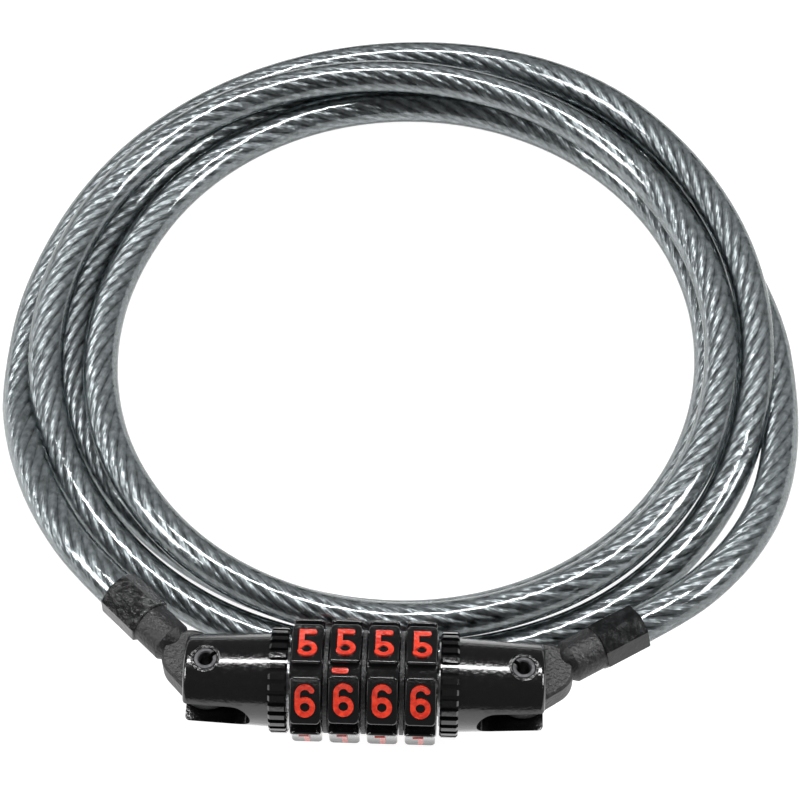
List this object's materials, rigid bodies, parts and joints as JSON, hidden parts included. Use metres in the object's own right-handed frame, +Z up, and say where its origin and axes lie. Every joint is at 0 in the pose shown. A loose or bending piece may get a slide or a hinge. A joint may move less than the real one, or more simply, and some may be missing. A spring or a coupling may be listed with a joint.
{
  "type": "combination cable lock",
  "caption": "Coiled steel cable in a clear jacket, closed into a loop by a small cylindrical combination lock with number wheels.",
  "frame": {"origin": "middle of the dial stack, on the lock's axis", "axes": "+X along the lock's axis, towards the half that pulls out; +Y towards the coiled cable behind the lock; +Z up, away from the surface the coil lies on"},
  "size_m": [0.1126, 0.1255, 0.0192],
  "materials": {
    "black_lacquer": "gloss",
    "red_paint": "gloss",
    "steel": "satin",
    "pin_steel": "satin",
    "black_swivel": "semi-gloss",
    "black_sleeve": "matte",
    "black_washer": "matte",
    "brass": "satin",
    "clear_jacketed_rope": "gloss",
    "rope_steel": "satin"
  },
  "bodies": {
    "lock_body": {"left_housing": "black_lacquer", "left_collar": "black_lacquer", "barrel": "steel", "barrel_clip": "steel", "detent_leaf": "steel", "spacer_1": "black_washer", "spacer_2": "black_washer", "spacer_3": "black_washer", "ejector_spring": "steel", "left_hinge_pin": "pin_steel", "cable_coil": "clear_jacketed_rope", "left_cable_lead": "clear_jacketed_rope", "right_cable_lead": "clear_jacketed_rope"},
    "dial_wheel_1": {"dial_1": "black_lacquer", "numerals_1": "red_paint", "code_ring_1": "brass"},
    "dial_wheel_2": {"dial_2": "black_lacquer", "numerals_2": "red_paint", "code_ring_2": "brass"},
    "dial_wheel_3": {"dial_3": "black_lacquer", "numerals_3": "red_paint", "code_ring_3": "brass"},
    "dial_wheel_4": {"dial_4": "black_lacquer", "numerals_4": "red_paint", "code_ring_4": "brass"},
    "plug": {"right_housing": "black_lacquer", "right_collar": "black_lacquer", "shackle_pin": "steel", "right_hinge_pin": "pin_steel"},
    "left_cable_end": {"left_swivel": "black_swivel", "left_crimp_sleeve": "black_sleeve", "left_core_end": "rope_steel"},
    "right_cable_end": {"right_swivel": "black_swivel", "right_crimp_sleeve": "black_sleeve", "right_core_end": "rope_steel"}
  },
  "joints": [
    {"name": "dial_1_spin", "type": "hinge", "parent": "lock_body", "child": "dial_wheel_1", "pos_m": [-0.00705, 0, 0], "axis": [1, 0, 0], "continuous": true},
    {"name": "dial_2_spin", "type": "hinge", "parent": "lock_body", "child": "dial_wheel_2", "pos_m": [-0.00235, 0, 0], "axis": [1, 0, 0], "continuous": true},
    {"name": "dial_3_spin", "type": "hinge", "parent": "lock_body", "child": "dial_wheel_3", "pos_m": [0.00235, 0, 0], "axis": [1, 0, 0], "continuous": true},
    {"name": "dial_4_spin", "type": "hinge", "parent": "lock_body", "child": "dial_wheel_4", "pos_m": [0.00705, 0, 0], "axis": [1, 0, 0], "continuous": true},
    {"name": "plug_slide", "type": "slide", "parent": "lock_body", "child": "plug", "axis": [1, 0, 0], "range_m": [0, 0.024], "deforming": ["cable_coil", "right_cable_lead"]},
    {"name": "left_swing", "type": "hinge", "parent": "lock_body", "child": "left_cable_end", "pos_m": [-0.0196, 0, 0], "axis": [0, 0, 1], "range_deg": [-36, 123], "deforming": ["left_cable_lead"]},
    {"name": "right_swing", "type": "hinge", "parent": "plug", "child": "right_cable_end", "pos_m": [0.0196, 0, 0], "axis": [0, 0, 1], "range_deg": [-111, 48], "deforming": ["right_cable_lead"]}
  ]
}
